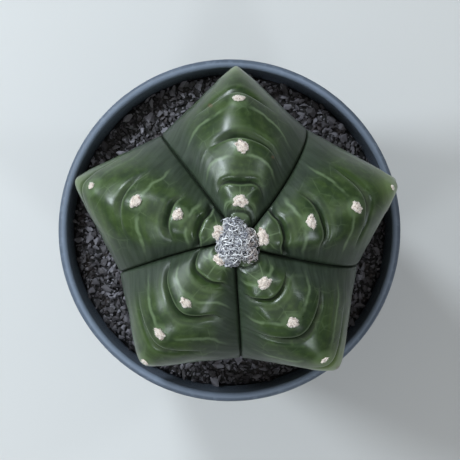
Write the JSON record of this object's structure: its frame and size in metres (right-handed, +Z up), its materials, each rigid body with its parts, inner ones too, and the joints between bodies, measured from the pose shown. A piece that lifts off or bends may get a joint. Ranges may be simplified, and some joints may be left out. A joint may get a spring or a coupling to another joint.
{
  "type": "potted bishop's cap cactus",
  "caption": "Smooth green star-shaped cactus with furrowed ribs, felted areoles and a woolly crown, standing in dark grit in a round tapered pot.",
  "frame": {"origin": "centre of the pot's foot ring, on the surface that the pot stands on", "axes": "+Z up through the middle of the pot; +Y towards the first rib, which is at the top of the picture; +X to the right of the picture"},
  "size_m": [0.1, 0.1, 0.1309],
  "materials": {
    "pot": "satin slate blue-grey",
    "grit": "rough near-black angular chips",
    "stem": "satin waxy dark green skin with cream felted areoles",
    "wool": "matt grey-white curly plant wool"
  },
  "bodies": {
    "root": {"pot": "pot", "grit_fill": "grit", "cactus_stem": "stem", "crown_wool": "wool"}
  },
  "joints": []
}
